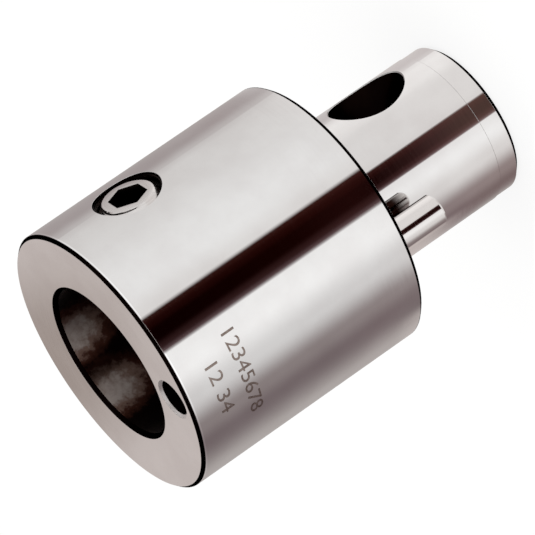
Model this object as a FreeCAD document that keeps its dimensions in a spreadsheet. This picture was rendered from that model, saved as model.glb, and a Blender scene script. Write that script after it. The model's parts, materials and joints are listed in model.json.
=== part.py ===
import FreeCAD, Part
import math
import os
import Sketcher

from FreeCAD import Placement, Rotation, Vector

# Extension adapter of a modular boring tool, in millimetres.
# It stands on the end of its shank, with the socket face up.
# +Z runs up the axis and out of the socket, and +X runs out along the clamp screw.

doc = FreeCAD.newDocument("extension_adapter")

# Driving dimensions: name, value, what it is
DRIVING = [
    ("body_dia", 42.0, "diameter of the ground body"),
    ("body_length", 40.0, "socket face to shoulder face"),
    ("face_chamfer", 0.5, "chamfer round the socket face"),
    ("shoulder_chamfer", 0.55, "chamfer round the shoulder face"),
    ("shank_dia", 24.0, "diameter of the ground shank"),
    ("shank_length", 25.7, "shoulder face to the end of the shank"),
    ("shank_chamfer", 0.7, "chamfer on the end of the shank"),
    ("lead_in_length", 3.7, "length of the lead-in at the end of the shank"),
    ("lead_in_drop", 0.1, "how far the lead-in lies under the ground shank"),
    ("relief_width", 1.6, "width of the grinding reliefs at the shoulder and in the socket"),
    ("relief_depth", 0.25, "depth of the grinding reliefs"),
    ("face_relief_width", 0.4, "how far the shoulder's relief reaches beyond the shank"),
    ("face_relief_depth", 0.2, "how deep the shoulder's relief cuts into the shoulder's face"),
    ("socket_clearance", 0.01, "radial clearance of the socket on a shank like this one"),
    ("socket_spare", 1.3, "room left under a seated shank"),
    ("socket_chamfer", 0.6, "chamfer of the socket's mouth"),
    ("coolant_dia", 8.0, "through bore for the coolant"),
    ("centre_rise", 1.0, "how much further out than the coolant bore its grinding centre opens"),
    ("centre_angle", 60, "included angle of the grinding centre"),
    ("screw_offset", 12.75, "socket face to the axis of the clamp screw"),
    ("screw_dia", 9.8, "outside diameter of the clamp screw, over its plain thread"),
    ("screw_clearance", 0.2, "radial gap between the plain screw and its plain hole"),
    ("screw_hole_chamfer", 0.15, "broken edge round the screw hole"),
    ("screw_tip_gap", 0.5, "how far behind the socket's wall the released screw's point waits"),
    ("screw_sink", 0.49, "how far its outer face then lies below the body's surface"),
    ("screw_chamfer", 1.05, "chamfer round the screw's outer face"),
    ("screw_flat_dia", 5.5, "diameter of the flat that ends the screw's point"),
    ("point_angle", 90, "included angle of the screw's point and of its recess"),
    ("key_size", 5.0, "hexagon across flats"),
    ("key_turn", -4.7, "turn of the hexagon about the screw's axis"),
    ("recess_pull", 0.25, "how much nearer the shoulder the recess lies, so that the screw pulls in"),
    ("recess_mouth_dia", 12.6, "diameter of the conical recess at the shank's surface"),
    ("recess_floor_dia", 1.5, "diameter of the flat at the bottom of the recess"),
    ("end_clocking", 3.0, "turn of the shank's recess and pin against the socket's screw and hole"),
    ("drive_angle", -92.0, "turn from the clamp screw to the drive hole, and from the recess to the pin"),
    ("drive_outset", 0.25, "how far outside the middle of the socket's wall the drive pin lies"),
    ("pin_dia", 5.0, "diameter of the drive pin"),
    ("pin_reach", 8.0, "how far the pin stands out of the shoulder"),
    ("pin_hold", 8.0, "how deep the pin is pressed in"),
    ("pin_chamfer", 0.35, "chamfer on both ends of the pin"),
    ("pin_seat_spare", 0.5, "room left above the pressed-in end of the pin"),
    ("drive_hole_clearance", 0.25, "radial clearance of the drive hole on a pin like this one"),
    ("drive_hole_spare", 1.5, "room left above a seated pin"),
    ("drive_hole_chamfer", 0.4, "chamfer of the drive hole's mouth"),
    ("drill_angle", 118, "point angle of the drill that made the blind holes"),
    ("mouth_angle", 90, "included angle of the drive hole's chamfered mouth"),
]

# Dimensions that follow from the driving ones: name, formula, what it is
DERIVED = [
    ("body_rad", "=body_dia / 2", "radius of the body"),
    ("shank_rad", "=shank_dia / 2", "radius of the shank"),
    ("face_height", "=shank_length + body_length", "height of the socket face"),
    ("face_rad", "=body_rad - face_chamfer", "radius of the flat socket face"),
    ("face_edge_height", "=face_height - face_chamfer", "where the face's chamfer starts"),
    ("shoulder_rad", "=body_rad - shoulder_chamfer", "radius of the flat shoulder face"),
    ("shoulder_edge_height", "=shank_length + shoulder_chamfer", "where the shoulder's chamfer ends"),
    ("lead_in_rad", "=shank_rad - lead_in_drop", "radius of the lead-in"),
    ("lead_in_end_rad", "=lead_in_rad - shank_chamfer", "radius of the shank's end face"),
    ("lead_in_top", "=lead_in_length + lead_in_drop", "where the full shank starts"),
    ("relief_rad", "=shank_rad - relief_depth", "radius in the shoulder's relief"),
    ("relief_start", "=shank_length - relief_width", "where the shoulder's relief starts"),
    ("relief_foot", "=relief_start + relief_depth", "where it reaches its depth"),
    ("relief_top", "=shank_length + face_relief_depth", "height of its cut into the shoulder's face"),
    ("face_relief_rad", "=shank_rad + face_relief_width", "radius of that cut at its bottom"),
    ("face_start_rad", "=face_relief_rad + face_relief_depth", "inner radius of the shoulder's face"),
    ("socket_rad", "=shank_rad + socket_clearance", "radius of the socket"),
    ("socket_mouth_rad", "=socket_rad + socket_chamfer", "radius of the socket's mouth"),
    ("socket_edge_height", "=face_height - socket_chamfer", "where the mouth's chamfer starts"),
    ("socket_floor", "=body_length - socket_spare", "height of the socket's floor"),
    ("socket_relief_rad", "=socket_rad + relief_depth", "radius in the socket's relief"),
    ("socket_relief_end", "=socket_floor + relief_width", "where the socket's relief ends"),
    ("socket_relief_foot", "=socket_relief_end - relief_depth", "where it has its full depth"),
    ("coolant_rad", "=coolant_dia / 2", "radius of the coolant bore"),
    ("centre_rad", "=coolant_rad + centre_rise", "radius of the grinding centre's mouth"),
    ("centre_height", "=centre_rise / tan(centre_angle * 1 deg / 2)", "depth of the grinding centre"),
    ("screw_height", "=face_height - screw_offset", "height of the clamp screw's axis"),
    ("screw_tip", "=socket_rad + screw_tip_gap", "axis to the point of the released screw"),
    ("screw_length", "=body_rad - screw_sink - screw_tip", "length of the clamp screw"),
    ("screw_rad", "=screw_dia / 2", "radius of the screw"),
    ("screw_face_rad", "=screw_rad - screw_chamfer", "radius of the screw's outer face"),
    ("screw_edge", "=screw_length - screw_chamfer", "where the outer face's chamfer starts"),
    ("screw_flat_rad", "=screw_flat_dia / 2", "radius of the flat on the point"),
    ("point_slope", "=tan(point_angle * 1 deg / 2)", "how fast point and recess widen"),
    ("point_length", "=(screw_rad - screw_flat_rad) / point_slope", "length of the conical point"),
    ("screw_hole_dia", "=screw_dia + 2 * screw_clearance", "diameter of the screw hole"),
    ("screw_hole_reach", "=body_rad + screw_dia", "how far out the cut for the screw hole runs"),
    ("key_corners", "=key_size / cos(30 deg)", "hexagon across corners"),
    ("key_rad", "=key_size / 2", "radius of the drilled start of the hexagon"),
    ("key_depth", "=screw_length / 2", "depth of the hexagon"),
    ("key_floor", "=screw_length - key_depth", "height of the hexagon's floor"),
    ("key_point", "=key_floor - key_rad / tan(drill_angle * 1 deg / 2)", "tip of the drilled start"),
    ("recess_height", "=shank_length - screw_offset + recess_pull", "height of the recess's axis"),
    ("recess_floor_rad", "=recess_floor_dia / 2", "radius of the recess's flat bottom"),
    ("recess_mouth_rad", "=recess_mouth_dia / 2", "radius of the recess's mouth"),
    ("recess_floor", "=shank_rad - (recess_mouth_rad - recess_floor_rad) / point_slope",
     "axis to the bottom of the recess"),
    ("recess_reach", "=shank_rad + recess_floor_dia", "how far out the cut for the recess runs"),
    ("recess_reach_rad", "=recess_mouth_rad + (recess_reach - shank_rad) * point_slope", "its radius there"),
    ("drive_rad", "=(body_rad + socket_rad) / 2 + drive_outset", "axis to the drive pin's axis"),
    ("drive_hole_dia", "=pin_dia + 2 * drive_hole_clearance", "diameter of the drive hole"),
    ("drive_hole_mouth", "=drive_hole_dia + 2 * drive_hole_chamfer", "diameter of its mouth"),
    ("drive_hole_depth", "=pin_reach + drive_hole_spare", "depth of the drive hole"),
    ("pin_rad", "=pin_dia / 2", "radius of the drive pin"),
    ("pin_end_rad", "=pin_rad - pin_chamfer", "radius of the pin's end faces"),
    ("pin_length", "=pin_reach + pin_hold", "length of the pin"),
    ("pin_edge", "=pin_length - pin_chamfer", "where the pin's second chamfer starts"),
    ("pin_seat_dia", "=drive_hole_dia", "diameter of its pressed-in end, from the same drill"),
    ("pin_seat_rad", "=pin_seat_dia / 2", "its radius"),
    ("pin_seat_end_rad", "=pin_seat_rad - pin_chamfer", "radius of its end face"),
    ("pin_seat_depth", "=pin_hold + pin_seat_spare", "depth of the hole that the pin is pressed into"),
    ("pin_foot", "=shank_length - pin_reach", "height of the pin's free end"),
    ("pin_angle", "=drive_angle + end_clocking", "turn of the drive pin about the axis"),
    ("pin_place_x", "=drive_rad * cos(pin_angle * 1 deg)", "place of the pin's axis along X"),
    ("pin_place_y", "=drive_rad * sin(pin_angle * 1 deg)", "place of the pin's axis along Y"),
]

# For each origin plane, its own axis that runs along the part's Z
UP_AXIS = {"XY_Plane": "z", "XZ_Plane": "y", "YZ_Plane": "y"}


def fill_sheet():
    """Write both tables into the sheet, with each name as its cell's alias."""
    sheet = doc.addObject("Spreadsheet::Sheet", "Sizes")
    for row, (name, value, note) in enumerate(DRIVING + DERIVED, start=1):
        sheet.set(f"A{row}", name)
        sheet.set(f"B{row}", str(value))
        sheet.set(f"C{row}", note)
        sheet.setAlias(f"B{row}", name)
    doc.recompute()
    return sheet


sheet = fill_sheet()


def size(name):
    """The present value of a cell."""
    value = getattr(sheet, name)
    return float(getattr(value, "Value", value))


def tie(target, prop, name):
    """Bind a property to a cell."""
    target.setExpression(prop, f"Sizes.{name}")


def new_body(name):
    """A body whose label is the name of its node."""
    body = doc.addObject("PartDesign::Body", name)
    body.Label = name
    return body


def new_sketch(body, name, role="XZ_Plane", height=None, turn=None):
    """A sketch on an origin plane of the body, raised along Z and turned about Z by two cells."""
    sketch = body.newObject("Sketcher::SketchObject", name)
    plane = next(item for item in body.Origin.OriginFeatures if item.Role == role)
    sketch.AttachmentSupport = [(plane, "")]
    sketch.MapMode = "FlatFace"
    up = UP_AXIS[role]
    if height:
        tie(sketch, f"AttachmentOffset.Base.{up}", height)
    if turn:
        axis = Vector(0, 0, 1) if up == "z" else Vector(0, 1, 0)
        sketch.AttachmentOffset = Placement(Vector(), Rotation(axis, size(turn)))
        tie(sketch, "AttachmentOffset.Rotation.Angle", turn)
    return sketch


def hold_point(sketch, geometry, vertex, across, up):
    """Hold a point at two cells' distances from the sketch's origin; None puts it on that axis."""
    for kind, axis, name in (("DistanceX", -2, across), ("DistanceY", -1, up)):
        if name is None:
            sketch.addConstraint(Sketcher.Constraint("PointOnObject", geometry, vertex, axis))
        else:
            held = sketch.addConstraint(Sketcher.Constraint(kind, -1, 1, geometry, vertex, size(name)))
            tie(sketch, f"Constraints[{held}]", name)


def draw_outline(sketch, corners):
    """A closed outline of straight lines through corners, each a pair of cells."""
    points = [Vector(size(a) if a else 0, size(b) if b else 0, 0) for a, b in corners]
    count = len(points)
    for i in range(count):
        sketch.addGeometry(Part.LineSegment(points[i], points[(i + 1) % count]), False)
    for i in range(count):
        sketch.addConstraint(Sketcher.Constraint("Coincident", i, 2, (i + 1) % count, 1))
    for i, (across, up) in enumerate(corners):
        hold_point(sketch, i, 1, across, up)


def draw_circle(sketch, diameter, across=None, up=None):
    """A circle of a cell's diameter, with its centre held at two cells."""
    centre = Vector(size(across) if across else 0, size(up) if up else 0, 0)
    ring = sketch.addGeometry(Part.Circle(centre, Vector(0, 0, 1), size(diameter) / 2), False)
    hold_point(sketch, ring, 3, across, up)
    held = sketch.addConstraint(Sketcher.Constraint("Diameter", ring, size(diameter)))
    tie(sketch, f"Constraints[{held}]", diameter)


def draw_hexagon(sketch, corner_diameter):
    """A regular hexagon round the sketch's origin, with a corner on its horizontal axis."""
    radius = size(corner_diameter) / 2
    points = [Vector(radius * math.cos(math.radians(60 * i)), radius * math.sin(math.radians(60 * i)), 0)
              for i in range(6)]
    for i in range(6):
        sketch.addGeometry(Part.LineSegment(points[i], points[(i + 1) % 6]), False)
    ring = sketch.addGeometry(Part.Circle(Vector(), Vector(0, 0, 1), radius), True)
    sketch.addConstraint(Sketcher.Constraint("Coincident", ring, 3, -1, 1))
    held = sketch.addConstraint(Sketcher.Constraint("Diameter", ring, 2 * radius))
    tie(sketch, f"Constraints[{held}]", corner_diameter)
    for i in range(6):
        sketch.addConstraint(Sketcher.Constraint("Coincident", i, 2, (i + 1) % 6, 1))
        sketch.addConstraint(Sketcher.Constraint("PointOnObject", i, 1, ring))
    for i in range(1, 6):
        sketch.addConstraint(Sketcher.Constraint("Equal", 0, i))
    sketch.addConstraint(Sketcher.Constraint("PointOnObject", 0, 1, -1))


def turn_on_lathe(body, kind, name, sketch, axis="V_Axis"):
    """Turn a profile round an axis of its sketch, as a Revolution or a Groove."""
    feature = body.newObject(f"PartDesign::{kind}", name)
    feature.Profile = sketch
    feature.ReferenceAxis = (sketch, [axis])
    feature.Angle = 360
    finish(feature)


def drill(body, name, sketch, diameter, depth, mouth=None, upward=False):
    """Drill a blind hole with a pointed bottom, and a chamfered mouth where one is named."""
    doc.recompute()
    hole = body.newObject("PartDesign::Hole", name)
    hole.Profile = sketch
    hole.DepthType = "Dimension"
    hole.DrillPoint = "Angled"
    hole.Reversed = upward
    tie(hole, "Diameter", diameter)
    tie(hole, "Depth", depth)
    tie(hole, "DrillPointAngle", "drill_angle")
    if mouth:
        hole.HoleCutType = "Countersink"
        hole.HoleCutCustomValues = True
        tie(hole, "HoleCutCountersinkAngle", "mouth_angle")
        tie(hole, "HoleCutDiameter", mouth)
    finish(hole)


def finish(feature):
    """Recompute, and make sure that a cut took material and an addition gave some."""
    before = feature.BaseFeature.Shape.Volume if feature.BaseFeature else 0
    doc.recompute()
    after = feature.Shape.Volume
    adds = feature.TypeId in ("PartDesign::Revolution", "PartDesign::Pad")
    if (after <= before) if adds else (after >= before):
        raise RuntimeError(f"{feature.Name} changed nothing: {before:.3f} to {after:.3f} mm3")


def edges_at(shape, distance, test):
    """Names of the edges whose every sampled point passes a test of its distance to a value."""
    found = []
    for number, edge in enumerate(shape.Edges, start=1):
        points = edge.discretize(7)
        if all(abs(test(point) - distance) < 1e-4 for point in points):
            found.append(f"Edge{number}")
    return found


def make_adapter_body():
    """Body, shank and socket, turned and ground from one bar, with their holes and recess."""
    body = new_body("adapter_body")

    outside = new_sketch(body, "outside_profile")
    draw_outline(outside, [
        (None, None),
        ("lead_in_end_rad", None),
        ("lead_in_rad", "shank_chamfer"),
        ("lead_in_rad", "lead_in_length"),
        ("shank_rad", "lead_in_top"),
        ("shank_rad", "relief_start"),
        ("relief_rad", "relief_foot"),
        ("relief_rad", "relief_top"),
        ("face_relief_rad", "relief_top"),
        ("face_start_rad", "shank_length"),
        ("shoulder_rad", "shank_length"),
        ("body_rad", "shoulder_edge_height"),
        ("body_rad", "face_edge_height"),
        ("face_rad", "face_height"),
        (None, "face_height"),
    ])
    turn_on_lathe(body, "Revolution", "outside", outside)

    socket = new_sketch(body, "socket_profile")
    draw_outline(socket, [
        (None, "socket_floor"),
        ("socket_relief_rad", "socket_floor"),
        ("socket_relief_rad", "socket_relief_foot"),
        ("socket_rad", "socket_relief_end"),
        ("socket_rad", "socket_edge_height"),
        ("socket_mouth_rad", "face_height"),
        (None, "face_height"),
    ])
    turn_on_lathe(body, "Groove", "socket", socket)

    coolant = new_sketch(body, "coolant_profile")
    draw_outline(coolant, [
        (None, None),
        ("centre_rad", None),
        ("coolant_rad", "centre_height"),
        ("coolant_rad", "socket_floor"),
        (None, "socket_floor"),
    ])
    turn_on_lathe(body, "Groove", "coolant_bore", coolant)

    # Tapped hole through one side of the socket's wall, drawn plain over its thread
    screw_circle = new_sketch(body, "screw_hole_circle", "YZ_Plane", height="screw_height")
    draw_circle(screw_circle, "screw_hole_dia")
    screw_hole = body.newObject("PartDesign::Pocket", "screw_hole")
    screw_hole.Profile = screw_circle
    screw_hole.Reversed = True
    tie(screw_hole, "Length", "screw_hole_reach")
    finish(screw_hole)

    # Its outer edge runs round the hole on the body's cylinder
    rim = edges_at(screw_hole.Shape, size("body_rad"), lambda p: math.hypot(p.x, p.y))
    bore = edges_at(screw_hole.Shape, size("screw_hole_dia") / 2,
                    lambda p: math.hypot(p.y, p.z - size("screw_height")))
    screw_edge = body.newObject("PartDesign::Chamfer", "screw_hole_edge")
    screw_edge.Base = (screw_hole, [name for name in rim if name in bore])
    tie(screw_edge, "Size", "screw_hole_chamfer")
    finish(screw_edge)

    drive_circle = new_sketch(body, "drive_hole_circle", "XY_Plane", "face_height", "drive_angle")
    draw_circle(drive_circle, "drive_hole_dia", across="drive_rad")
    drill(body, "drive_hole", drive_circle, "drive_hole_dia", "drive_hole_depth", "drive_hole_mouth")

    seat_circle = new_sketch(body, "pin_seat_circle", "XY_Plane", "shank_length", "pin_angle")
    draw_circle(seat_circle, "pin_seat_dia", across="drive_rad")
    drill(body, "pin_seat", seat_circle, "pin_seat_dia", "pin_seat_depth", upward=True)

    # Cone that the clamp screw of the next socket bears on
    recess = new_sketch(body, "recess_profile", height="recess_height", turn="end_clocking")
    draw_outline(recess, [
        ("recess_floor", None),
        ("recess_reach", None),
        ("recess_reach", "recess_reach_rad"),
        ("recess_floor", "recess_floor_rad"),
    ])
    turn_on_lathe(body, "Groove", "locking_recess", recess, "H_Axis")
    return body


def make_clamp_screw():
    """Set screw with a hexagon socket and a truncated conical point, built upright on its point."""
    body = new_body("clamp_screw")

    profile = new_sketch(body, "screw_profile")
    draw_outline(profile, [
        (None, None),
        ("screw_flat_rad", None),
        ("screw_rad", "point_length"),
        ("screw_rad", "screw_edge"),
        ("screw_face_rad", "screw_length"),
        (None, "screw_length"),
    ])
    turn_on_lathe(body, "Revolution", "screw_blank", profile)

    hexagon = new_sketch(body, "key_outline", "XY_Plane", "screw_length", "key_turn")
    draw_hexagon(hexagon, "key_corners")
    key = body.newObject("PartDesign::Pocket", "key_socket")
    key.Profile = hexagon
    tie(key, "Length", "key_depth")
    finish(key)

    start = new_sketch(body, "key_start_profile")
    draw_outline(start, [
        (None, "key_point"),
        ("key_rad", "key_floor"),
        (None, "key_floor"),
    ])
    turn_on_lathe(body, "Groove", "key_start", start)

    # Its own X, Y and Z become the part's Y, Z and X
    body.Placement = Placement(Vector(), Rotation(Vector(1, 1, 1), 120))
    tie(body, "Placement.Base.x", "screw_tip")
    tie(body, "Placement.Base.z", "screw_height")
    return body


def make_drive_pin():
    """Hardened stepped pin pressed into the shoulder, built upright on its free end."""
    body = new_body("drive_pin")
    profile = new_sketch(body, "pin_profile")
    draw_outline(profile, [
        (None, None),
        ("pin_end_rad", None),
        ("pin_rad", "pin_chamfer"),
        ("pin_rad", "pin_reach"),
        ("pin_seat_rad", "pin_reach"),
        ("pin_seat_rad", "pin_edge"),
        ("pin_seat_end_rad", "pin_length"),
        (None, "pin_length"),
    ])
    turn_on_lathe(body, "Revolution", "pin_blank", profile)
    tie(body, "Placement.Base.x", "pin_place_x")
    tie(body, "Placement.Base.y", "pin_place_y")
    tie(body, "Placement.Base.z", "pin_foot")
    return body


def write_parts(bodies):
    """Check the whole document, then write one file a piece."""
    doc.recompute()
    for item in doc.Objects:
        if "Invalid" in item.State or "Error" in item.State:
            raise RuntimeError(f"{item.Name} did not recompute: {item.State}")
    for body in bodies:
        if body.Shape.isNull() or not body.Shape.isValid():
            raise RuntimeError(f"{body.Label} has no valid shape")
        print(f"{body.Label}: {len(body.Shape.Solids)} solid, {body.Shape.Volume:.1f} mm3")
    os.makedirs("parts", exist_ok=True)
    for body in bodies:
        body.Shape.exportStep(f"parts/{body.Label}.step")


write_parts([make_adapter_body(), make_clamp_screw(), make_drive_pin()])
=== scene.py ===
import json
import math

import bmesh
import bpy
from mathutils import Matrix, Vector


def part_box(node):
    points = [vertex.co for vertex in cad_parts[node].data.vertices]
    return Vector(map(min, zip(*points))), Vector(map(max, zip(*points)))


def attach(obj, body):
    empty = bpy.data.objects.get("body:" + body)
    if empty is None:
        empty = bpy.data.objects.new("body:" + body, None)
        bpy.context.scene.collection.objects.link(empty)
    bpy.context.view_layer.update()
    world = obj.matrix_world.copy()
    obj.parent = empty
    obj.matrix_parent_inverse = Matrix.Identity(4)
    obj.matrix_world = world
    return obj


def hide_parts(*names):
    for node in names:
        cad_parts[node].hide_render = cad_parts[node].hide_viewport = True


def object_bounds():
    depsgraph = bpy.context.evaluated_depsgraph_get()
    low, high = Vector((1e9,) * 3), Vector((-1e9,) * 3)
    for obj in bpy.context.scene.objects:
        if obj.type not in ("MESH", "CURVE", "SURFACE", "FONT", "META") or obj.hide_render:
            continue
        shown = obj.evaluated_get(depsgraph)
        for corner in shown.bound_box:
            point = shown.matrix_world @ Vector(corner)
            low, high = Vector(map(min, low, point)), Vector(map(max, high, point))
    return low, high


# Extension adapter of a modular boring tool, dressed for a studio picture.
# It stands on the end of its shank; +Z runs out of the socket and +X out along the clamp screw.

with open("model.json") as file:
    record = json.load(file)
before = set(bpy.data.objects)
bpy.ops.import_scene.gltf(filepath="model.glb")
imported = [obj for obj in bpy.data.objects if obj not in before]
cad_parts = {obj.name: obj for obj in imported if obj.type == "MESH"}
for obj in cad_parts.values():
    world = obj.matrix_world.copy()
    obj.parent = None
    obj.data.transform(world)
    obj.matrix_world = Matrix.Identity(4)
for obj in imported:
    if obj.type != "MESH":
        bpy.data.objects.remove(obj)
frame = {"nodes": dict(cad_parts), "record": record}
cad_low, cad_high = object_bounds()

MM = 0.001

# Sizes that the frame gives
mounts = {mount["name"]: mount for mount in frame["record"]["mounts"]}
body_rad = cad_high.x
face_height = cad_high.z
shoulder_height = mounts["shoulder_face"]["pos_m"][2]
socket_rad = mounts["socket"]["dims"]["r_mm"] * MM
shank_rad = mounts["shank"]["dims"]["r_mm"] * MM
drive_hole = Vector(mounts["drive_hole"]["pos_m"])
drive_hole_rad = mounts["drive_hole"]["dims"]["r_mm"] * MM
pin_place = Vector(mounts["drive_pin"]["pos_m"])
screw_low, screw_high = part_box("clamp_screw")
screw_height = (screw_low.z + screw_high.z) / 2
screw_rad = (screw_high.z - screw_low.z) / 2

# Sizes of the solids that the frame doesn't name
FACE_CHAMFER = 0.5 * MM
SHOULDER_CHAMFER = 0.55 * MM
SOCKET_CHAMFER = 0.6 * MM
DRIVE_HOLE_CHAMFER = 0.4 * MM
LEAD_IN_DROP = 0.1 * MM
SCREW_CLEARANCE = 0.2 * MM
SCREW_CHAMFER = 1.05 * MM
SCREW_FLAT_RAD = 2.75 * MM
THREAD_PITCH = 1.5 * MM
KEY_FLATS = 5.0 * MM
KEY_DEPTH = 4.0 * MM
KEY_TURN = math.radians(-4.7)

# Settings that many nodes share
MULTIPLY = {"operation": "MULTIPLY"}
MAXIMUM = {"operation": "MAXIMUM"}
ABOVE = {"operation": "GREATER_THAN"}
BELOW = {"operation": "LESS_THAN"}
WITHOUT = {"operation": "SUBTRACT", "use_clamp": True}
DISTANCE = {"operation": "DISTANCE"}
COLOURS = {"data_type": "RGBA"}
SMOOTH = {"interpolation_type": "SMOOTHSTEP"}


def linear(hex_colour):
    """An sRGB hex colour as linear red, green, blue and alpha."""
    parts = [int(hex_colour[i:i + 2], 16) / 255 for i in (1, 3, 5)]
    return [p / 12.92 if p <= 0.04045 else ((p + 0.055) / 1.055) ** 2.4 for p in parts] + [1.0]


def add(tree, kind, settings=None, **inputs):
    """Add a node with its settings, and give its inputs values or links, by name or as _number.

    A mix has its share at _0, then numbers at _2 and _3 or colours at _6 and _7. A map range goes
    from _1 and _2 to _3 and _4. A node given as a value stands for its first output in use.
    """
    node = tree.nodes.new(kind)
    for name, value in (settings or {}).items():
        if name == "stops":
            while len(node.color_ramp.elements) < len(value):
                node.color_ramp.elements.new(1.0)
            for element, (place, colour) in zip(node.color_ramp.elements, value):
                element.position = place
                element.color = linear(colour)
            node.color_ramp.interpolation = "EASE"
        else:
            setattr(node, name, value)
    for name, value in inputs.items():
        socket = node.inputs[int(name[1:])] if name[0] == "_" else node.inputs[name.replace("_", " ")]
        if isinstance(value, bpy.types.Node):
            value = next(output for output in value.outputs if output.enabled)
        if isinstance(value, bpy.types.NodeSocket):
            tree.links.new(value, socket)
        else:
            socket.default_value = value
    return node


def new_material(name):
    """An empty node material and its node tree."""
    material = bpy.data.materials.new(name)
    material.use_nodes = True
    material.node_tree.nodes.clear()
    return material, material.node_tree


# Camera
# The photo is a telephoto view. The adapter's axis rises in the picture by AXIS_RISE and runs away
# from the viewer by AXIS_DEPTH, and SCREW_TURN is how far the clamp screw is turned round it.
PHOTO_SIDE = 535
FOCAL_PIXELS = 6082.4
SENSOR_WIDTH = 36.0
AXIS_RISE = math.radians(34.71)
AXIS_DEPTH = math.radians(20.197)
SCREW_TURN = math.radians(-59.06)
FACE_DISTANCE = 849.48 * MM
FACE_PIXEL = (108.32, 363.47)
CLIP_START = 0.01
CLIP_END = 20


def make_camera():
    """The photo's camera, from where the socket face lies in the picture and how the axis points."""
    axis = Vector((math.cos(AXIS_RISE) * math.cos(AXIS_DEPTH),
                   math.sin(AXIS_RISE) * math.cos(AXIS_DEPTH), -math.sin(AXIS_DEPTH)))
    near = Vector((math.cos(AXIS_RISE) * math.sin(AXIS_DEPTH),
                   math.sin(AXIS_RISE) * math.sin(AXIS_DEPTH), math.cos(AXIS_DEPTH)))
    across = axis.cross(near)
    x = near * math.cos(SCREW_TURN) + across * math.sin(SCREW_TURN)
    z = -axis
    y = z.cross(x)
    turn_back = Matrix((x, y, z))
    right = FACE_PIXEL[0] - PHOTO_SIDE / 2
    down = FACE_PIXEL[1] - PHOTO_SIDE / 2
    face_seen = Vector((right, -down, -FOCAL_PIXELS)) * (FACE_DISTANCE / FOCAL_PIXELS)
    place = Vector((0, 0, face_height)) - turn_back @ face_seen
    data = bpy.data.cameras.new("camera")
    data.sensor_width = SENSOR_WIDTH
    data.lens = SENSOR_WIDTH * FOCAL_PIXELS / PHOTO_SIDE
    data.clip_start = CLIP_START
    data.clip_end = CLIP_END
    camera = bpy.data.objects.new("camera", data)
    camera.matrix_world = Matrix.Translation(place) @ turn_back.to_4x4()
    bpy.context.scene.collection.objects.link(camera)
    bpy.context.scene.camera = camera


make_camera()

# Clamp screw and its tapped hole
# A ring has TURN_STEPS points and starts at a corner of the key. The thread starts a share of a turn
# later, as in the photo, and stays inside the screw's two ends. The key's mouth is broken, and its
# floor has the edge that the broach left and the cone of the drill.
TURN_STEPS = 96
THREAD_START = 0.22
THREAD_DEPTH = 0.61 * THREAD_PITCH
TIP_END = 0.05 * MM
FACE_END = 0.02 * MM
FACE_RIM = 0.06 * MM
KEY_MOUTH = 0.14 * MM
KEY_BREAK = 0.12 * MM
KEY_FLOOR_STEP = 0.05 * MM
KEY_FLOOR_EDGE = 0.12 * MM
KEY_DRILL_DEPTH = 1.3 * MM
KEY_DRILL_RAD = 0.15 * MM
hole_rad = screw_rad + SCREW_CLEARANCE

# One turn of thread as (share of the pitch, share of the depth cut away), with a rounded root
THREAD_FORM = (
    (0.0, 0.0), (0.125, 0.0), (0.30, 0.5), (0.47, 0.96), (0.5625, 1.0), (0.655, 0.96), (0.825, 0.5),
)

# One turn of the tapped hole's ridge as (share of the pitch, share of its height)
RIDGE_FORM = ((0.0, 0.0), (0.2, 0.0), (0.45, 0.8), (0.5, 1.0), (0.62, 1.0), (0.67, 0.8), (0.92, 0.0))
RIDGE_HEIGHT = 0.14 * MM
RIDGE_SINK = 0.03 * MM
RIDGE_START = 11.0 * MM
RIDGE_TURNS = 9
INNER_END_GAP = 0.35 * MM
OUTER_END_GAP = 0.3 * MM

# Points nearer than this are joined, and edges shorter than this dropped
JOIN_UNDER = 0.002 * MM
DROP_UNDER = 0.0001 * MM


def mesh_piece(name, points, faces, material, smooth_under=35):
    """A mesh object from points and faces; edges sharper than smooth_under degrees stay crisp."""
    mesh = bpy.data.meshes.new(name)
    mesh.from_pydata([tuple(p) for p in points], [], faces)
    mesh.validate()
    mesh.update()
    piece = bpy.data.objects.new(name, mesh)
    bpy.context.scene.collection.objects.link(piece)
    mesh.materials.append(material)
    edit = bmesh.new()
    edit.from_mesh(mesh)
    bmesh.ops.remove_doubles(edit, verts=edit.verts, dist=JOIN_UNDER)
    bmesh.ops.dissolve_degenerate(edit, edges=edit.edges, dist=DROP_UNDER)
    bmesh.ops.recalc_face_normals(edit, faces=edit.faces)
    for edge in edit.edges:
        edge.smooth = edge.calc_face_angle(0) < math.radians(smooth_under)
    for face in edit.faces:
        face.smooth = True
    edit.to_mesh(mesh)
    edit.free()
    return piece


def turned(rings, closed=True):
    """Points and faces between rings about the screw's axis; a ring gives x and radius at each step."""
    angles = [KEY_TURN + math.tau * i / TURN_STEPS for i in range(TURN_STEPS)]
    points = []
    for ring in rings:
        for angle in angles:
            x, rad = ring(angle)
            points.append((x, rad * math.cos(angle), screw_height + rad * math.sin(angle)))
    last_ring = (len(rings) - 1) * TURN_STEPS
    faces = []
    for ring_start in range(0, last_ring, TURN_STEPS):
        for i in range(TURN_STEPS):
            a = ring_start + i
            b = ring_start + (i + 1) % TURN_STEPS
            faces.append((a, b, b + TURN_STEPS, a + TURN_STEPS))
    if closed:
        faces.append(tuple(range(TURN_STEPS)))
        faces.append(tuple(range(last_ring, last_ring + TURN_STEPS)))
    return points, faces


def plain_ring(x, rad):
    """A circle."""
    return lambda angle: (x, rad)


def key_ring(x, flats):
    """A hexagon with a corner at the key's turn."""
    def place(angle):
        from_flat = (angle - KEY_TURN) % (math.pi / 3) - math.pi / 6
        return x, flats / 2 / math.cos(from_flat)
    return place


def turns_along(angle, turns):
    """How far a thread climbs along the screw's axis."""
    return (turns + (angle - KEY_TURN) / math.tau) * THREAD_PITCH


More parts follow.
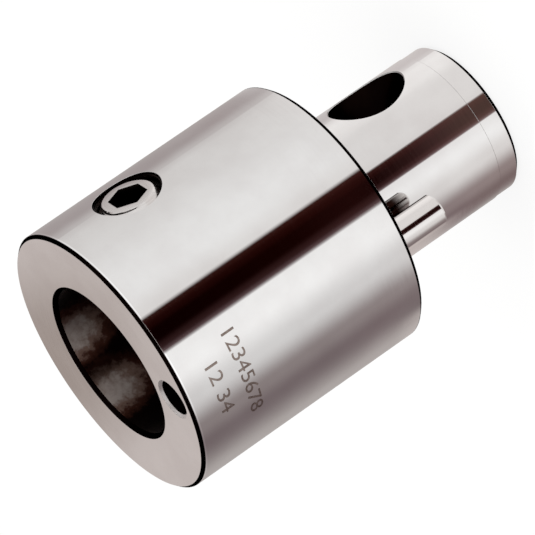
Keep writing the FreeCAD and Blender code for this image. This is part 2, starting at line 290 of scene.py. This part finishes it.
def make_threaded_screw(material):
    """M10 set screw: truncated cone point, rolled thread, chamfered end and a broached hexagon."""
    tip = screw_low.x
    face = screw_high.x
    chamfer_start = face - SCREW_CHAMFER
    key_floor = face - KEY_DEPTH

    def thread_ring(turns, cut):
        def place(angle):
            x = max(tip + TIP_END, min(face - FACE_END, tip + turns_along(angle, turns)))
            ends = min(SCREW_FLAT_RAD + x - tip, screw_rad - (x - chamfer_start))
            return x, min(screw_rad - cut * THREAD_DEPTH, ends)
        return place

    turns = int((face - tip) / THREAD_PITCH) + 2
    rings = [plain_ring(tip, SCREW_FLAT_RAD)]
    rings += [thread_ring(turn + share + THREAD_START, cut)
              for turn in range(-1, turns) for share, cut in THREAD_FORM]
    rings += [
        plain_ring(face, screw_rad - SCREW_CHAMFER - FACE_RIM),
        key_ring(face, KEY_FLATS + KEY_MOUTH),
        key_ring(face - KEY_BREAK, KEY_FLATS),
        key_ring(key_floor, KEY_FLATS),
        plain_ring(key_floor - KEY_FLOOR_STEP, KEY_FLATS / 2 - KEY_FLOOR_EDGE),
        plain_ring(key_floor - KEY_DRILL_DEPTH, KEY_DRILL_RAD),
    ]
    piece = mesh_piece("clamp_screw_threaded", *turned(rings), material)
    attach(piece, "screw")
    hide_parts("clamp_screw")


def make_hole_thread(material):
    """The tapped hole's thread, shown as low ridges on its wall, between the socket and the outside."""
    def ridge_ring(turns, lift):
        def place(angle):
            aside = hole_rad * math.cos(angle)
            inner = math.sqrt(socket_rad ** 2 - aside ** 2) + INNER_END_GAP
            outer = math.sqrt(body_rad ** 2 - aside ** 2) - OUTER_END_GAP
            x = max(inner, min(outer, RIDGE_START + turns_along(angle, turns)))
            return x, hole_rad + RIDGE_SINK - lift * RIDGE_HEIGHT
        return place

    rings = [ridge_ring(turn + share, lift)
             for turn in range(-1, RIDGE_TURNS - 1) for share, lift in RIDGE_FORM]
    piece = mesh_piece("tapped_hole_thread", *turned(rings, closed=False), material, smooth_under=60)
    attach(piece, "adapter")


# Finishes
# The steel is ground bright and slightly warm; where no grinding wheel has been, the hardening has
# left a thin dark skin. A tone that a noise brings out is written as (value of the noise, colour).
# Real grinding lines are a few hundredths of a millimetre apart and a lathe's about a tenth, which
# is too fine to show here, so both are drawn coarser.
WHITE = "#FFFFFF"
BLACK = "#000000"

# Most values of a noise lie between these two
NOISE_LOW = 0.3
NOISE_HIGH = 0.7

# A point this near to a surface's own radius or height counts as on it
NEAR_RAD = 0.03 * MM
NEAR_HEIGHT = 0.01 * MM

# Ground body, with a painted highlight in a band beside the face's chamfer, and a band beside the
# shoulder's chamfer that the wheel missed
GROUND_STEEL = ((0.3, "#E7E5E4"), (0.7, "#EDECEB"))
DARK_SKIN = ((0.35, "#090404"), (0.65, "#110907"))
MOTTLE_SIZE = 6 * MM
GRINDING_SPACING = 0.35 * MM
GRINDING_DEPTH = 0.004 * MM
GRINDING_BUMP = 0.12
GRINDING_STRETCH = 0.9
QUARTER_TURN = 0.25
GROUND_ROUGH = (0.05, 0.085)
BORE_ROUGH = 0.36
SKIN_ROUGH = 0.38
COUNTERSINK_ROUGH = 0.45
EDGE_HIGHLIGHT_WIDTH = 0.22 * MM
REAR_BAND = 0.11 * MM

# Painted shade and painted reflections in the bore
# Its colour is painted dark as shade, with painted reflections in places given as (turn from the
# camera's side, depth), brightest within the core distance and fading out to the edge distance.
# The squash makes a place longer along the bore than round it.
BORE_SHADE_AND_REFLECTIONS = ((0.0, "#150908"), (0.35, "#58342A"), (0.65, "#A08377"), (1.0, "#E0D3CC"))
REFLECTION_PLACES = ((math.radians(149), 1.6 * MM), (math.radians(196.5), 2.4 * MM))
REFLECTION_CORE = 1.2 * MM
REFLECTION_EDGE = 6.3 * MM
REFLECTION_RAGGED = 0.6 * MM
REFLECTION_SQUASH = 0.72
REFLECTION_LEAST = 0.8
BLOTCH_SIZE = 1.3 * MM

# Screw steel and the painted shade in its key, which reaches just past the corners of the hexagon
SCREW_STEEL = ((0.25, "#D9D5D3"), (0.75, "#E9E6E4"))
SCREW_ROUGH = (0.16, 0.26)
TURNING_SPACING = 0.3 * MM
TURNING_DEPTH = 0.006 * MM
TURNING_BUMP = 0.2
KEY_SHADE = "#1A1513"
KEY_SHADE_RAD = 0.6 * KEY_FLATS

# Painted shade in the tapped hole
TAPPED_SHADE = ((0.35, "#160E0C"), (0.65, "#2A201D"))
TAPPED_SHADE_SIZE = 1.5 * MM
TAPPED_ROUGH = (0.3, 0.45)

# Drive pin, with painted shade on its side towards the shank and a painted dark line along it,
# given by distance from the adapter's axis and by height over the pin's mount
PIN_STEEL = "#ECE9E7"
PIN_ROUGH = (0.07, 0.12)
PIN_GRINDING_SPACING = 0.3 * MM
PIN_SHADE = "#241410"
PIN_SHADE_GLANCE = "#201512"
PIN_SHADE_FULL_RAD = 15.5 * MM
PIN_SHADE_GONE_RAD = 16.3 * MM
PIN_SHADE_START = -0.9 * MM
PIN_SHADE_FULL = 2.2 * MM
PIN_SHADE_LINE_RAD = 16.2 * MM
PIN_SHADE_LINE_HALF = 0.15 * MM

# Etched digits, with a coarser grain than a real etch has, so that it shows
ETCHED_OXIDE = ((0.3, "#80716A"), (0.7, "#A0938C"))
ETCHED_GRAIN = 0.4 * MM
ETCHED_ROUGH = 0.35


def place_nodes(tree):
    """The place on the part: its coordinates, its height and its distance from the adapter's axis."""
    coords = add(tree, "ShaderNodeTexCoord").outputs["Object"]
    height = add(tree, "ShaderNodeSeparateXYZ", Vector=coords).outputs["Z"]
    flat = add(tree, "ShaderNodeVectorMath", MULTIPLY, _0=coords, _1=(1, 1, 0))
    rad = add(tree, "ShaderNodeVectorMath", {"operation": "LENGTH"}, _0=flat)
    return coords, height, rad


def within(tree, *bands):
    """1 where any value lies within its margin of its place, and 0 elsewhere."""
    mask = 0.0
    for value, place, margin in bands:
        here = add(tree, "ShaderNodeMath", {"operation": "COMPARE"}, _0=value, _1=place, _2=margin)
        mask = add(tree, "ShaderNodeMath", MAXIMUM, _0=mask, _1=here)
    return mask


def tool_marks(tree, coords, rad, height, spacing):
    """Fine lines left by wheel or tool: rings on a turned face, and lines round a cylinder. A little
    of the place round the axis is added in, so that no line runs quite true."""
    across = add(tree, "ShaderNodeCombineXYZ", X=rad, Y=height)
    drift = add(tree, "ShaderNodeVectorMath", {"operation": "SCALE"}, _0=coords, Scale=0.05)
    lines = add(tree, "ShaderNodeVectorMath", {"operation": "ADD"}, _0=across, _1=drift)
    return add(tree, "ShaderNodeTexNoise", Vector=lines, Scale=1 / spacing, Detail=3.0, Roughness=0.6)


def bright_places(tree, coords, height, rad):
    """Masks for the body: all its bright metal, and in that the bore and the drive hole's chamfer."""
    on_fit = within(tree, (rad, shank_rad, NEAR_RAD))
    in_mouth = add(tree, "ShaderNodeMath", ABOVE, _0=height, _1=face_height - SOCKET_CHAMFER - NEAR_RAD)
    fit = add(tree, "ShaderNodeMath", WITHOUT, _0=on_fit, _1=in_mouth)
    in_body = add(tree, "ShaderNodeMath", ABOVE, _0=height, _1=shoulder_height)
    bore = add(tree, "ShaderNodeMath", MULTIPLY, _0=fit, _1=in_body)
    ground = within(
        tree,
        (rad, body_rad, NEAR_RAD),
        (rad, shank_rad - LEAD_IN_DROP, NEAR_RAD),
        (height, face_height, NEAR_HEIGHT),
        (height, shoulder_height, NEAR_HEIGHT),
        (height, 0.0, NEAR_HEIGHT),
    )
    rear_band = within(tree, (height, shoulder_height + SHOULDER_CHAMFER, REAR_BAND))
    ground = add(tree, "ShaderNodeMath", WITHOUT, _0=ground, _1=rear_band)
    from_hole = add(tree, "ShaderNodeVectorMath", DISTANCE, _0=coords, _1=drive_hole)
    half_chamfer = DRIVE_HOLE_CHAMFER / 2
    round_hole = within(tree, (from_hole, drive_hole_rad + half_chamfer, half_chamfer))
    near_face = add(tree, "ShaderNodeMath", ABOVE,
                    _0=height, _1=face_height - DRIVE_HOLE_CHAMFER + NEAR_HEIGHT)
    countersink = add(tree, "ShaderNodeMath", MULTIPLY, _0=round_hole, _1=near_face)
    bright = countersink
    for place in (ground, fit):
        bright = add(tree, "ShaderNodeMath", MAXIMUM, _0=bright, _1=place)
    return bright, bore, countersink


def bore_shade_and_reflections(tree, coords):
    """The bore's colour: painted shade, dark all over, with painted reflections in ragged places."""
    blotches = add(tree, "ShaderNodeTexNoise", Vector=coords, Scale=1 / BLOTCH_SIZE, Detail=5.0,
                   Roughness=0.65)
    ragged = add(tree, "ShaderNodeMapRange", Value=blotches, _1=NOISE_LOW, _2=NOISE_HIGH,
                 _3=-REFLECTION_RAGGED, _4=REFLECTION_RAGGED)
    squashed = add(tree, "ShaderNodeVectorMath", MULTIPLY, _0=coords, _1=(1, 1, REFLECTION_SQUASH))
    reflected = 0.0
    for turn, depth in REFLECTION_PLACES:
        angle = SCREW_TURN + turn
        place = (socket_rad * math.cos(angle), socket_rad * math.sin(angle),
                 (face_height - depth) * REFLECTION_SQUASH)
        away = add(tree, "ShaderNodeVectorMath", DISTANCE, _0=squashed, _1=place)
        away = add(tree, "ShaderNodeMath", {"operation": "ADD"}, _0=away, _1=ragged)
        here = add(tree, "ShaderNodeMapRange", SMOOTH, Value=away, _1=REFLECTION_EDGE, _2=REFLECTION_CORE)
        reflected = add(tree, "ShaderNodeMath", MAXIMUM, _0=reflected, _1=here)
    patchy = add(tree, "ShaderNodeMapRange", Value=blotches, _1=NOISE_LOW, _2=NOISE_HIGH,
                 _3=1.0, _4=REFLECTION_LEAST)
    reflected = add(tree, "ShaderNodeMath", MULTIPLY, _0=reflected, _1=patchy)
    return add(tree, "ShaderNodeValToRGB", {"stops": BORE_SHADE_AND_REFLECTIONS}, _0=reflected)


def make_body_steel():
    """Case-hardened steel, cylindrically ground. Fine lines round it draw each reflection out along
    the axis; chamfers, recess, reliefs and holes keep the dark skin, so that they outline the form.
    The drive hole's chamfer was cut after hardening, so it is bright but dull."""
    material, tree = new_material("ground case-hardened steel")
    coords, height, rad = place_nodes(tree)
    bright, bore, countersink = bright_places(tree, coords, height, rad)
    lines = tool_marks(tree, coords, rad, height, GRINDING_SPACING)
    mottle = add(tree, "ShaderNodeTexNoise", Vector=coords, Scale=1 / MOTTLE_SIZE, Detail=4.0)
    steel = add(tree, "ShaderNodeValToRGB", {"stops": GROUND_STEEL}, _0=mottle)
    # Painted highlight: a thin band beside the face's chamfer is mixed towards white.
    edge_highlight = within(tree, (height, face_height - FACE_CHAMFER - EDGE_HIGHLIGHT_WIDTH / 2, EDGE_HIGHLIGHT_WIDTH / 2))
    steel = add(tree, "ShaderNodeMix", COLOURS, _0=edge_highlight, _6=steel, _7=linear(WHITE))
    skin = add(tree, "ShaderNodeValToRGB", {"stops": DARK_SKIN}, _0=mottle)
    colour = add(tree, "ShaderNodeMix", COLOURS, _0=bright, _6=skin, _7=steel)
    # The bore's colour is painted shade with painted reflections.
    colour = add(tree, "ShaderNodeMix", COLOURS, _0=bore, _6=colour, _7=bore_shade_and_reflections(tree, coords))
    glance = add(tree, "ShaderNodeMix", COLOURS, _0=bright, _6=linear(BLACK), _7=linear(WHITE))
    rough = add(tree, "ShaderNodeMapRange", Value=lines, _1=NOISE_LOW, _2=NOISE_HIGH,
                _3=GROUND_ROUGH[0], _4=GROUND_ROUGH[1])
    rough = add(tree, "ShaderNodeMix", _0=bore, _2=rough, _3=BORE_ROUGH)
    rough = add(tree, "ShaderNodeMix", _0=bright, _2=SKIN_ROUGH, _3=rough)
    rough = add(tree, "ShaderNodeMix", _0=countersink, _2=rough, _3=COUNTERSINK_ROUGH)
    bump = add(tree, "ShaderNodeBump", Strength=GRINDING_BUMP, Distance=GRINDING_DEPTH, Height=lines)
    round_it = add(tree, "ShaderNodeTangent", {"direction_type": "RADIAL", "axis": "Z"})
    shader = add(tree, "ShaderNodeBsdfPrincipled", Base_Color=colour, Metallic=1.0, Roughness=rough,
                 Specular_Tint=glance, Anisotropic=GRINDING_STRETCH, Anisotropic_Rotation=QUARTER_TURN,
                 Normal=bump, Tangent=round_it)
    add(tree, "ShaderNodeOutputMaterial", Surface=shader)
    return material


def make_screw_steel():
    """Alloy steel set screw. Its end was faced on a lathe, so fine rings soften what it mirrors;
    the broached hexagon is painted dark as shade in its recess."""
    material, tree = new_material("machined alloy steel screw")
    coords = add(tree, "ShaderNodeTexCoord").outputs["Object"]
    along = add(tree, "ShaderNodeSeparateXYZ", Vector=coords).outputs["X"]
    from_axis = add(tree, "ShaderNodeVectorMath", {"operation": "SUBTRACT"}, _0=coords,
                    _1=(0, 0, screw_height))
    flat = add(tree, "ShaderNodeVectorMath", MULTIPLY, _0=from_axis, _1=(0, 1, 1))
    rad = add(tree, "ShaderNodeVectorMath", {"operation": "LENGTH"}, _0=flat)
    lines = tool_marks(tree, coords, rad, along, TURNING_SPACING)
    bare = add(tree, "ShaderNodeValToRGB", {"stops": SCREW_STEEL}, _0=lines)
    # Painted shade: the key's recess below the face is painted near black.
    in_key = add(tree, "ShaderNodeMath", BELOW, _0=rad, _1=KEY_SHADE_RAD)
    deep = add(tree, "ShaderNodeMath", BELOW, _0=along, _1=screw_high.x - NEAR_HEIGHT)
    painted_shade = add(tree, "ShaderNodeMath", MULTIPLY, _0=in_key, _1=deep)
    colour = add(tree, "ShaderNodeMix", COLOURS, _0=painted_shade, _6=bare, _7=linear(KEY_SHADE))
    rough = add(tree, "ShaderNodeMapRange", Value=lines, _1=NOISE_LOW, _2=NOISE_HIGH,
                _3=SCREW_ROUGH[0], _4=SCREW_ROUGH[1])
    bump = add(tree, "ShaderNodeBump", Strength=TURNING_BUMP, Distance=TURNING_DEPTH, Height=lines)
    shader = add(tree, "ShaderNodeBsdfPrincipled", Base_Color=colour, Metallic=1.0, Roughness=rough,
                 Normal=bump)
    add(tree, "ShaderNodeOutputMaterial", Surface=shader)
    return material


def make_pin_steel():
    """Hardened dowel, ground to size, so it mirrors more sharply than the screw. The side towards the
    shank is painted dark as shade from the narrow gap to the shank, with a painted dark line along it."""
    material, tree = new_material("ground dowel steel")
    coords, height, rad = place_nodes(tree)
    lines = tool_marks(tree, coords, rad, height, PIN_GRINDING_SPACING)
    # Painted shade on the side towards the shank, fading up the pin, and a painted dark line at one
    # distance from the axis.
    inner = add(tree, "ShaderNodeMapRange", Value=rad, _1=PIN_SHADE_FULL_RAD, _2=PIN_SHADE_GONE_RAD,
                _3=1.0, _4=0.0)
    root = add(tree, "ShaderNodeMapRange", SMOOTH, Value=height,
               _1=pin_place.z + PIN_SHADE_START, _2=pin_place.z + PIN_SHADE_FULL)
    shade_amount = add(tree, "ShaderNodeMath", MULTIPLY, _0=inner, _1=root)
    line = within(tree, (rad, PIN_SHADE_LINE_RAD, PIN_SHADE_LINE_HALF))
    painted_shade = add(tree, "ShaderNodeMath", MAXIMUM, _0=shade_amount, _1=line)
    colour = add(tree, "ShaderNodeMix", COLOURS, _0=painted_shade, _6=linear(PIN_STEEL), _7=linear(PIN_SHADE))
    glance = add(tree, "ShaderNodeMix", COLOURS, _0=painted_shade, _6=linear(WHITE), _7=linear(PIN_SHADE_GLANCE))
    rough = add(tree, "ShaderNodeMapRange", Value=lines, _1=NOISE_LOW, _2=NOISE_HIGH,
                _3=PIN_ROUGH[0], _4=PIN_ROUGH[1])
    shader = add(tree, "ShaderNodeBsdfPrincipled", Base_Color=colour, Metallic=1.0, Roughness=rough,
                 Specular_Tint=glance)
    add(tree, "ShaderNodeOutputMaterial", Surface=shader)
    return material


def make_tapped_steel():
    """Tapped steel with its thread painted dark as shade, which dulls it almost to black."""
    material, tree = new_material("oiled tapped steel")
    # Painted shade: the thread's colour and roughness follow a noise over dark tones.
    coords = add(tree, "ShaderNodeTexCoord").outputs["Object"]
    shade_amount = add(tree, "ShaderNodeTexNoise", Vector=coords, Scale=1 / TAPPED_SHADE_SIZE, Detail=3.0)
    colour = add(tree, "ShaderNodeValToRGB", {"stops": TAPPED_SHADE}, _0=shade_amount)
    rough = add(tree, "ShaderNodeMapRange", Value=shade_amount, _1=NOISE_LOW, _2=NOISE_HIGH,
                _3=TAPPED_ROUGH[0], _4=TAPPED_ROUGH[1])
    shader = add(tree, "ShaderNodeBsdfPrincipled", Base_Color=colour, Metallic=1.0, Roughness=rough)
    add(tree, "ShaderNodeOutputMaterial", Surface=shader)
    return material


def make_etched_steel():
    """Electro-etched steel: a thin brown-grey oxide, uneven in depth, that dulls the ground surface."""
    material, tree = new_material("electro-etched steel")
    coords = add(tree, "ShaderNodeTexCoord").outputs["Object"]
    depth = add(tree, "ShaderNodeTexNoise", Vector=coords, Scale=1 / ETCHED_GRAIN, Detail=2.0)
    colour = add(tree, "ShaderNodeValToRGB", {"stops": ETCHED_OXIDE}, _0=depth)
    shader = add(tree, "ShaderNodeBsdfPrincipled", Base_Color=colour, Metallic=1.0,
                 Roughness=ETCHED_ROUGH)
    add(tree, "ShaderNodeOutputMaterial", Surface=shader)
    return material


def dress(node, material):
    """Give a CAD node its material."""
    mesh = frame["nodes"][node].data
    mesh.materials.clear()
    mesh.materials.append(material)


dress("adapter_body", make_body_steel())
dress("drive_pin", make_pin_steel())
make_threaded_screw(make_screw_steel())
make_hole_thread(make_tapped_steel())

# Mark
# Plain digits etched round the body, in two lines that read away from the clamp screw. Each has its
# foot's distance from the socket face, the angle where it starts, and its length round the body.
NUMBER_FOOT = 8.9 * MM
NUMBER_START = SCREW_TURN - math.radians(15.3)
NUMBER_LENGTH = 14.1 * MM
SIZE_FOOT = 4.45 * MM
SIZE_START = SCREW_TURN - math.radians(22.9)
SIZE_LENGTH = 8.1 * MM
DIGIT_HEIGHT = 2.2 * MM
MARK_LIFT = 0.006 * MM
MARK_COLUMNS = 60
CURVE_STEPS = 4
CUT_NEAR = 0.001 * MM


def make_mark(name, text, foot, start, length, material):
    """One line of digits, cut into columns and bent round the body."""
    curve = bpy.data.curves.new(name, "FONT")
    curve.body = text
    curve.resolution_u = CURVE_STEPS
    flat = bpy.data.objects.new(name + "_flat", curve)
    bpy.context.scene.collection.objects.link(flat)
    bpy.context.view_layer.update()
    mesh = bpy.data.meshes.new_from_object(flat)
    bpy.data.objects.remove(flat)
    left = min(v.co.x for v in mesh.vertices)
    wide = max(v.co.x for v in mesh.vertices) - left
    bottom = min(v.co.y for v in mesh.vertices)
    tall = max(v.co.y for v in mesh.vertices) - bottom
    cut = bmesh.new()
    cut.from_mesh(mesh)
    for i in range(1, MARK_COLUMNS):
        bmesh.ops.bisect_plane(cut, geom=cut.verts[:] + cut.edges[:] + cut.faces[:], dist=CUT_NEAR,
                               plane_co=(left + wide * i / MARK_COLUMNS, 0, 0), plane_no=(1, 0, 0))
    cut.to_mesh(mesh)
    cut.free()
    rad = body_rad + MARK_LIFT
    for vertex in mesh.vertices:
        angle = start - (vertex.co.x - left) / wide * length / rad
        height = face_height - foot - (vertex.co.y - bottom) / tall * DIGIT_HEIGHT
        vertex.co = (rad * math.cos(angle), rad * math.sin(angle), height)
    mesh.materials.clear()
    mesh.materials.append(material)
    piece = bpy.data.objects.new(name, mesh)
    bpy.context.scene.collection.objects.link(piece)
    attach(piece, "adapter")


etched = make_etched_steel()
make_mark("etched_number", "12345678", NUMBER_FOOT, NUMBER_START, NUMBER_LENGTH, etched)
make_mark("etched_size", "12 34", SIZE_FOOT, SIZE_START, SIZE_LENGTH, etched)

# Light tent
# It stands round the adapter, and only reflections see it. Its cloth is lit unevenly, and a dark gap
# is left in it beside the camera, which gives steel its black stripe. Angles run round the tent from
# the camera's side, anticlockwise from above.
TENT_RAD = 0.3
TENT_HALF = 0.4
TENT_SIDES = 128
TENT_LIGHT = 1.15

# Rows of the wall's cloth, as (degrees round the tent, colour): the body mirrors the first, and the
# shank the second, which lies below it
SHANK_ROW_TOP = -0.082
ROW_BLEND = 0.008
BODY_ROW = (
    (-180, "#A8A2A0"), (-150, "#A9A3A1"), (-103, "#73686A"), (-85, "#898080"), (-60, "#D2D1D1"),
    (-35, "#F4F4F4"), (-17.7, "#F0F0F0"), (-16.4, "#5A484A"), (-12, "#2A1818"), (-6, "#080000"),
    (1, "#080000"), (6, "#1A0504"), (11.9, "#2F1512"), (13.3, "#DCDAD9"), (32, "#E8E8E8"),
    (104, "#D2D0CF"), (134, "#A29A9A"), (180, "#A8A2A0"),
)
SHANK_ROW = (
    (-180, "#A29F9E"), (-126, "#62585A"), (-98, "#867C7C"), (-64, "#D9D7D6"), (-35, "#F0F0F0"),
    (-18.0, "#E8E7E7"), (-16.6, "#5A484A"), (-12, "#2A1818"), (-6, "#080000"), (1, "#080000"),
    (6, "#1A0504"), (12.2, "#2F1512"), (13.6, "#D6D4D3"), (26, "#DAD8D7"), (60, "#DBD9D8"),
    (86, "#EBE9E8"), (102, "#EFEDEC"), (132, "#C3BEBE"), (180, "#C4C0BE"),
)

# Room light that comes up through the gap, as (share of the way up from foot to top, colour); on the
# lit cloth it is too faint to show
GAP_FOOT = -0.13
GAP_TOP = -0.02
GAP_GLOW = (
    (0.15, "#4C3A35"), (0.21, "#40292A"), (0.28, "#1C0807"), (0.35, "#040000"), (0.47, "#1E0A09"),
    (0.60, "#0A0100"), (0.85, "#020000"),
)

# Cloth behind the adapter, which its socket face mirrors: pale, with a dimmer patch
BACK_CLOTH = "#C1B8B5"
DIM_PATCH = "#9A8E88"
PATCH_PLACE = (-TENT_RAD, 0.006, 0.153)
PATCH_CORE = 0.006
PATCH_EDGE = 0.028
BACK_FOOT = 0.06
BACK_FULL = 0.14
BACK_SIDES = -0.8 * TENT_RAD
BACK_MIDDLE = -0.92 * TENT_RAD

# A pale card low behind the adapter lights the shank beside the drive pin
CARD_CLOTH = "#BFB6B3"
CARD_TURN = math.radians(-148)
CARD_HALF = math.radians(34)
CARD_FOOT = -0.111
CARD_TOP = -0.097

# The tent's two flat ends
LID_CLOTH = "#C0B8B6"
FOOT_CLOTH = "#E0DEDD"
END_HEIGHT = 0.99 * TENT_HALF


def wall_cloth(tree, turn, height):
    """The tent's wall: the row for the body, the row for the shank with its pale card, and the glow."""
    share = add(tree, "ShaderNodeMapRange", Value=turn, _1=-math.pi, _2=math.pi)
    body_stops = [(0.5 + degrees / 360, colour) for degrees, colour in BODY_ROW]
    body_row = add(tree, "ShaderNodeValToRGB", {"stops": body_stops}, _0=share)
    shank_stops = [(0.5 + degrees / 360, colour) for degrees, colour in SHANK_ROW]
    shank_row = add(tree, "ShaderNodeValToRGB", {"stops": shank_stops}, _0=share)
    aside = add(tree, "ShaderNodeMath", {"operation": "SUBTRACT"}, _0=turn, _1=CARD_TURN)
    aside = add(tree, "ShaderNodeMath", {"operation": "ABSOLUTE"}, _0=aside)
    card_across = add(tree, "ShaderNodeMapRange", SMOOTH, Value=aside, _1=CARD_HALF, _2=CARD_HALF / 2)
    card_up = add(tree, "ShaderNodeMapRange", SMOOTH, Value=height, _1=CARD_FOOT, _2=CARD_TOP)
    card = add(tree, "ShaderNodeMath", MULTIPLY, _0=card_across, _1=card_up)
    shank_row = add(tree, "ShaderNodeMix", COLOURS, _0=card, _6=shank_row, _7=linear(CARD_CLOTH))
    row = add(tree, "ShaderNodeMapRange", Value=height, _1=SHANK_ROW_TOP - ROW_BLEND, _2=SHANK_ROW_TOP)
    wall = add(tree, "ShaderNodeMix", COLOURS, _0=row, _6=shank_row, _7=body_row)
    level = add(tree, "ShaderNodeMapRange", Value=height, _1=GAP_FOOT, _2=GAP_TOP)
    glow = add(tree, "ShaderNodeValToRGB", {"stops": GAP_GLOW}, _0=level)
    return add(tree, "ShaderNodeMix", {"data_type": "RGBA", "blend_type": "SCREEN"},
               _0=1.0, _6=wall, _7=glow)


def back_cloth(tree, coords):
    """The pale cloth behind the adapter, with its dimmer patch."""
    from_patch = add(tree, "ShaderNodeVectorMath", DISTANCE, _0=coords, _1=PATCH_PLACE)
    patch = add(tree, "ShaderNodeMapRange", SMOOTH, Value=from_patch, _1=PATCH_CORE, _2=PATCH_EDGE)
    return add(tree, "ShaderNodeMix", COLOURS, _0=patch, _6=linear(DIM_PATCH), _7=linear(BACK_CLOTH))


def make_tent_cloth():
    """White tent cloth lit from outside, which gives steel soft tones with one hard dark stripe."""
    material, tree = new_material("lit tent cloth")
    coords = add(tree, "ShaderNodeTexCoord").outputs["Object"]
    split = add(tree, "ShaderNodeSeparateXYZ", Vector=coords)
    height = split.outputs["Z"]
    turn = add(tree, "ShaderNodeMath", {"operation": "ARCTAN2"},
               _0=split.outputs["Y"], _1=split.outputs["X"])
    cloth = wall_cloth(tree, turn, height)
    high = add(tree, "ShaderNodeMapRange", Value=height, _1=BACK_FOOT, _2=BACK_FULL)
    behind = add(tree, "ShaderNodeMapRange", Value=split.outputs["X"], _1=BACK_SIDES, _2=BACK_MIDDLE)
    at_back = add(tree, "ShaderNodeMath", MULTIPLY, _0=high, _1=behind)
    cloth = add(tree, "ShaderNodeMix", COLOURS, _0=at_back, _6=cloth, _7=back_cloth(tree, coords))
    on_lid = add(tree, "ShaderNodeMath", ABOVE, _0=height, _1=END_HEIGHT)
    cloth = add(tree, "ShaderNodeMix", COLOURS, _0=on_lid, _6=cloth, _7=linear(LID_CLOTH))
    on_foot = add(tree, "ShaderNodeMath", BELOW, _0=height, _1=-END_HEIGHT)
    cloth = add(tree, "ShaderNodeMix", COLOURS, _0=on_foot, _6=cloth, _7=linear(FOOT_CLOTH))
    light = add(tree, "ShaderNodeEmission", Color=cloth, Strength=TENT_LIGHT)
    add(tree, "ShaderNodeOutputMaterial", Surface=light)
    return material


def make_tent():
    """The light tent, seen by reflections alone."""
    mesh = bpy.data.meshes.new("light_tent")
    shell = bmesh.new()
    bmesh.ops.create_cone(shell, cap_ends=True, segments=TENT_SIDES, radius1=TENT_RAD,
                          radius2=TENT_RAD, depth=2 * TENT_HALF)
    shell.to_mesh(mesh)
    shell.free()
    mesh.materials.append(make_tent_cloth())
    tent = bpy.data.objects.new("light_tent", mesh)
    tent.rotation_euler.z = SCREW_TURN
    bpy.context.scene.collection.objects.link(tent)
    for kind in ("camera", "diffuse", "shadow", "transmission", "volume_scatter"):
        setattr(tent, "visible_" + kind, False)


# Floor, lamp and background
# The floor lies just under the shank's end, so that the two faces don't share a plane.
FLOOR_HALF = 5.0
FLOOR_HEIGHT = -0.05 * MM
FLOOR_PAPER = "#F6F5F4"
FLOOR_WHITE = 0.86
LAMP_SIZE = 1.2
LAMP_POWER = 9
LAMP_PLACE = (0.1, -0.2, 1.1)
SKY_AS_LIGHT = 0.75
SKY_AS_SEEN = 1.0


def seen_as_white(tree):
    """1 for the rays that see the plain white background: camera, glossy and transmission rays."""
    paths = add(tree, "ShaderNodeLightPath")
    seen = 0.0
    for kind in ("Is Camera Ray", "Is Glossy Ray", "Is Transmission Ray"):
        seen = add(tree, "ShaderNodeMath", MAXIMUM, _0=seen, _1=paths.outputs[kind])
    return seen


def make_floor():
    """Pale paper floor that fades into the white background and keeps the adapter's shadow."""
    mesh = bpy.data.meshes.new("floor")
    corners = [(x * FLOOR_HALF, y * FLOOR_HALF, FLOOR_HEIGHT)
               for x, y in ((-1, -1), (1, -1), (1, 1), (-1, 1))]
    mesh.from_pydata(corners, [], [(0, 1, 2, 3)])
    material, tree = new_material("pale paper floor")
    paper = add(tree, "ShaderNodeBsdfDiffuse", Color=linear(FLOOR_PAPER))
    white = add(tree, "ShaderNodeEmission", Strength=1.0)
    share = add(tree, "ShaderNodeMath", MULTIPLY, _0=seen_as_white(tree), _1=FLOOR_WHITE)
    mix = add(tree, "ShaderNodeMixShader", _0=share, _1=paper, _2=white)
    add(tree, "ShaderNodeOutputMaterial", Surface=mix)
    mesh.materials.append(material)
    floor = bpy.data.objects.new("floor", mesh)
    floor.visible_glossy = False
    bpy.context.scene.collection.objects.link(floor)


def make_softbox():
    """A wide lamp overhead, for the floor and the shadow; the tent lights the steel."""
    data = bpy.data.lights.new("softbox", "AREA")
    data.shape = "SQUARE"
    data.size = LAMP_SIZE
    data.energy = LAMP_POWER
    lamp = bpy.data.objects.new("softbox", data)
    lamp.location = LAMP_PLACE
    lamp.rotation_euler = (-lamp.location).to_track_quat("-Z", "Y").to_euler()
    lamp.visible_glossy = False
    bpy.context.scene.collection.objects.link(lamp)


def make_background():
    """A white world, a little dimmer as a light than as a background."""
    world = bpy.data.worlds.new("studio")
    world.use_nodes = True
    tree = world.node_tree
    tree.nodes.clear()
    strength = add(tree, "ShaderNodeMapRange", Value=seen_as_white(tree), _3=SKY_AS_LIGHT, _4=SKY_AS_SEEN)
    sky = add(tree, "ShaderNodeBackground", Color=linear(WHITE), Strength=strength)
    add(tree, "ShaderNodeOutputWorld", Surface=sky)
    bpy.context.scene.world = world


make_tent()
make_floor()
make_softbox()
make_background()
bpy.context.scene.view_settings.view_transform = "Standard"
